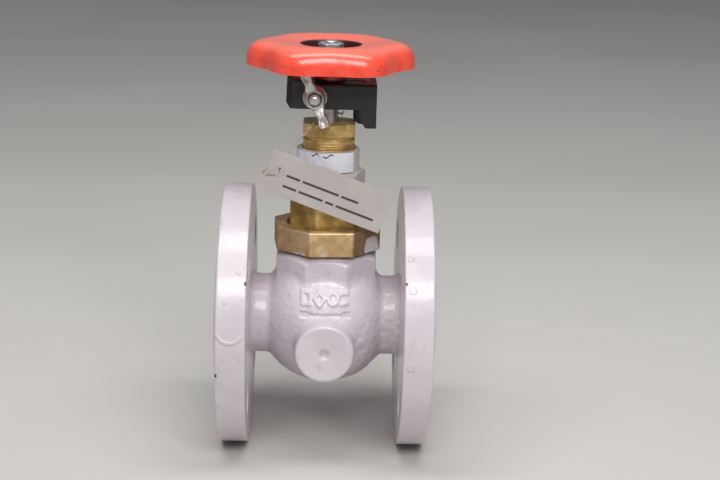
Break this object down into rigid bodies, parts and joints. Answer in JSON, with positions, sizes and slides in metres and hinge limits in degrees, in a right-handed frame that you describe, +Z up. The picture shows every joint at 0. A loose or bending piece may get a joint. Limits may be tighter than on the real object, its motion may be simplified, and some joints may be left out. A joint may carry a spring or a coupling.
{
  "type": "flanged globe valve",
  "caption": "Flanged globe regulating valve with union bonnet, stem lock clamp with wing nut, lobed handwheel, hanging tag.",
  "frame": {"origin": "on the floor under the stem axis, at the middle of the bounding box", "axes": "+X along the flow to the outlet flange, -Y to the side with the boss and the wing nut, +Z up along the stem"},
  "size_m": [0.095, 0.115, 0.18],
  "materials": {
    "body_paint": "lilac-grey satin paint over rough cast iron, chipped at the flange edges",
    "bonnet_brass": "machined brass, dulled, with grey overspray on the collar",
    "nut_brass": "turned and milled brass, dulled",
    "brass": "turned brass",
    "label_paper": "white paper label",
    "gasket": "pressed fibre sheet",
    "packing": "graphite packing",
    "stem_steel": "ground stainless steel",
    "wheel_paint": "glossy red enamel with scuffs",
    "clamp_black": "black enamel",
    "zinc_steel": "zinc plated steel",
    "zinc_cast": "zinc plated casting",
    "tag_plate": "matt grey lacquered plate",
    "wire_steel": "twisted galvanised wire"
  },
  "bodies": {
    "body": {"valve_body": "body_paint", "seat_ring": "brass", "bonnet_gasket": "gasket", "bonnet": "bonnet_brass", "union_nut": "nut_brass", "label_sleeve": "label_paper", "packing_ring_1": "packing", "packing_ring_2": "packing", "packing_ring_3": "packing", "packing_washer": "brass", "gland_nut": "nut_brass", "tag_wire": "wire_steel"},
    "plug_lift": {"plug": "brass", "plug_nut": "brass"},
    "stem_and_wheel": {"stem": "stem_steel", "handwheel": "wheel_paint", "wheel_washer": "zinc_steel", "wheel_nut": "zinc_steel"},
    "lock_clamp": {"lock_clamp_front": "clamp_black", "lock_clamp_rear": "clamp_black", "clamp_hinge_pin": "zinc_steel", "clamp_bolt": "zinc_steel"},
    "washer": {"clamp_washer": "zinc_steel"},
    "wing_nut": {"wing_nut": "zinc_cast"},
    "tag": {"name_tag": "tag_plate"}
  },
  "joints": [
    {"name": "stem_lift", "type": "slide", "parent": "body", "child": "plug_lift", "axis": [0, 0, 1], "range_m": [0, 0.008]},
    {"name": "handwheel_turn", "type": "hinge", "parent": "plug_lift", "child": "stem_and_wheel", "pos_m": [0, 0, 0.1725], "axis": [0, 0, 1], "range_deg": [0, 1440]},
    {"name": "clamp_slide", "type": "slide", "parent": "body", "child": "lock_clamp", "axis": [0, 0, 1], "range_m": [-0.0013, 0.0003]},
    {"name": "wing_nut_travel", "type": "slide", "parent": "lock_clamp", "child": "washer", "axis": [0, -1, 0], "range_m": [0, 0.00165]},
    {"name": "wing_nut_turn", "type": "hinge", "parent": "washer", "child": "wing_nut", "pos_m": [-0.0064, -0.0165, 0.1571], "axis": [0, -1, 0], "range_deg": [0, 720]},
    {"name": "tag_swing", "type": "hinge", "parent": "body", "child": "tag", "pos_m": [-0.0209, -0.0205, 0.1261], "axis": [0, -1, 0], "range_deg": [0, 30]}
  ],
  "couplings": [
    {"joint": "stem_lift", "follows": "handwheel_turn", "m_per_rad": 0.00031831},
    {"joint": "wing_nut_travel", "follows": "wing_nut_turn", "m_per_rad": 0.00012732}
  ]
}
